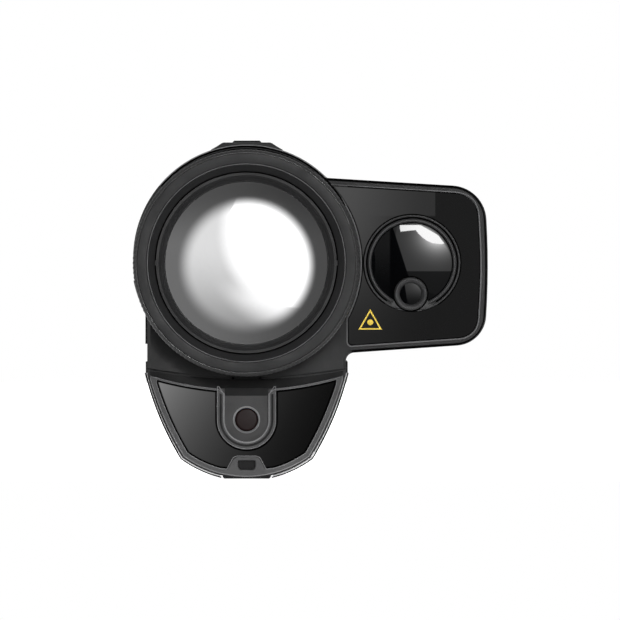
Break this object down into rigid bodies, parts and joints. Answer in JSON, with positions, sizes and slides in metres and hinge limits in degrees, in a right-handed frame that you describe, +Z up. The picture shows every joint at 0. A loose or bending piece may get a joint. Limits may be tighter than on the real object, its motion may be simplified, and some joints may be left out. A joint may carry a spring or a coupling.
{
  "type": "thermal imaging camera",
  "caption": "Handheld thermal imaging monocular with a large focusable infrared objective, a side rangefinder, a slide-out battery pack, top buttons and a rubber eyecup.",
  "frame": {"origin": "mouth of the tripod socket, in the flat foot under the body", "axes": "+Z up, objective looks along -Y, eyepiece on +Y, rangefinder on +X"},
  "size_m": [0.0825, 0.15, 0.0789],
  "materials": {
    "housing_paint": "fine matte texture",
    "frame_plastic": "satin",
    "gloss_black": "polished",
    "dark_rubber": "matte",
    "black_anodised": "black anodised",
    "ring_metal": "satin anodised",
    "steel": "satin",
    "brass": "machined",
    "germanium": "polished, coated",
    "coated_glass": "coated",
    "board": "solder mask",
    "ceramic": "fired",
    "cell_wrap": "shrink sleeve",
    "gold_contact": "gold plated",
    "button_rubber": "matte",
    "red_button": "satin"
  },
  "bodies": {
    "body": {"front_frame": "frame_plastic", "main_body": "housing_paint", "rear_cap": "housing_paint", "rear_screws": "steel", "side_grips": "dark_rubber", "flank_skins": "dark_rubber", "strap_pins": "steel", "tripod_insert": "brass", "objective_housing": "black_anodised", "housing_nut": "black_anodised", "front_bezel": "black_anodised", "shutter_plate": "black_anodised", "shutter_motor": "steel", "detector": "ceramic", "detector_board": "board", "main_board": "board", "display_holder": "frame_plastic", "display": "gloss_black", "eyepiece_barrel": "black_anodised", "eyecup_ring": "black_anodised", "eyecup": "dark_rubber", "lrf_housing": "housing_paint", "lrf_screws": "steel", "lrf_panel": "gloss_black", "receiver_bezel": "black_anodised", "receiver_barrel": "black_anodised", "receiver_lens": "coated_glass", "emitter_tube": "black_anodised", "emitter_lens": "coated_glass", "laser_diode": "gold_contact", "receiver_board": "board", "bay_contacts": "gold_contact", "keypad_deck": "frame_plastic", "keypad_board": "board", "usb_hinge_pin": "steel", "usb_socket": "steel", "latch_catch": "steel"},
    "focus_ring": {"focus_ring": "ring_metal", "focus_grip": "dark_rubber"},
    "lens_cell": {"lens_cell": "black_anodised", "front_lens": "germanium", "lens_retainer": "black_anodised", "rear_lens": "germanium"},
    "diopter_ring": {"diopter_ring": "ring_metal"},
    "eye_cell": {"eye_cell": "black_anodised", "field_lens": "coated_glass", "eye_lens": "coated_glass"},
    "battery": {"battery_case": "frame_plastic", "battery_cap": "frame_plastic", "battery_insert": "gloss_black", "battery_cell": "cell_wrap", "battery_contacts": "gold_contact"},
    "latch_button": {"latch_button": "red_button"},
    "latch_bolt": {"latch_bolt": "steel"},
    "button_power": {"button_power": "button_rubber"},
    "button_up": {"button_up": "button_rubber"},
    "button_menu": {"button_menu": "button_rubber"},
    "button_down": {"button_down": "button_rubber"},
    "usb_door": {"usb_door": "dark_rubber"},
    "shutter_blade": {"shutter_blade": "black_anodised"}
  },
  "joints": [
    {"name": "focus_turn", "type": "hinge", "parent": "body", "child": "focus_ring", "pos_m": [0, -0.088, 0.0502], "axis": [0, -1, 0], "range_deg": [-60, 60]},
    {"name": "focus_travel", "type": "slide", "parent": "body", "child": "lens_cell", "axis": [0, -1, 0], "range_m": [-0.0012, 0.0012]},
    {"name": "diopter_turn", "type": "hinge", "parent": "body", "child": "diopter_ring", "pos_m": [0, 0.035, 0.0502], "axis": [0, -1, 0], "range_deg": [-100, 100]},
    {"name": "eyepiece_travel", "type": "slide", "parent": "body", "child": "eye_cell", "axis": [0, 1, 0], "range_m": [-0.0018, 0.0018]},
    {"name": "battery_slide", "type": "slide", "parent": "body", "child": "battery", "axis": [0, -1, 0], "range_m": [0, 0.076], "deforming": ["latch_catch"]},
    {"name": "latch_press", "type": "slide", "parent": "battery", "child": "latch_button", "axis": [0, 1, 0], "range_m": [0, 0.0012], "stiffness_N_per_m": 800, "springref_m": -0.0006},
    {"name": "latch_drop", "type": "slide", "parent": "battery", "child": "latch_bolt", "axis": [0, 0, -1], "range_m": [0, 0.0012]},
    {"name": "usb_door_turn", "type": "hinge", "parent": "body", "child": "usb_door", "pos_m": [-0.02252, -0.0005, 0.0278], "axis": [0, -1, 0], "range_deg": [0, 100]},
    {"name": "shutter_turn", "type": "hinge", "parent": "body", "child": "shutter_blade", "pos_m": [0.0096, -0.0555, 0.0598], "axis": [0, 1, 0], "range_deg": [0, 60]},
    {"name": "press_power", "type": "slide", "parent": "body", "child": "button_power", "axis": [0, 0, -1], "range_m": [0, 0.0008], "stiffness_N_per_m": 1000, "springref_m": -0.0005},
    {"name": "press_up", "type": "slide", "parent": "body", "child": "button_up", "axis": [0, 0, -1], "range_m": [0, 0.0008], "stiffness_N_per_m": 1000, "springref_m": -0.0005},
    {"name": "press_menu", "type": "slide", "parent": "body", "child": "button_menu", "axis": [0, 0, -1], "range_m": [0, 0.0008], "stiffness_N_per_m": 1000, "springref_m": -0.0005},
    {"name": "press_down", "type": "slide", "parent": "body", "child": "button_down", "axis": [0, 0, -1], "range_m": [0, 0.0008], "stiffness_N_per_m": 1000, "springref_m": -0.0005}
  ],
  "couplings": [
    {"joint": "focus_travel", "follows": "focus_turn", "m_per_rad": 0.0011459},
    {"joint": "eyepiece_travel", "follows": "diopter_turn", "m_per_rad": 0.0010313},
    {"joint": "latch_drop", "follows": "latch_press", "ratio": 1}
  ]
}
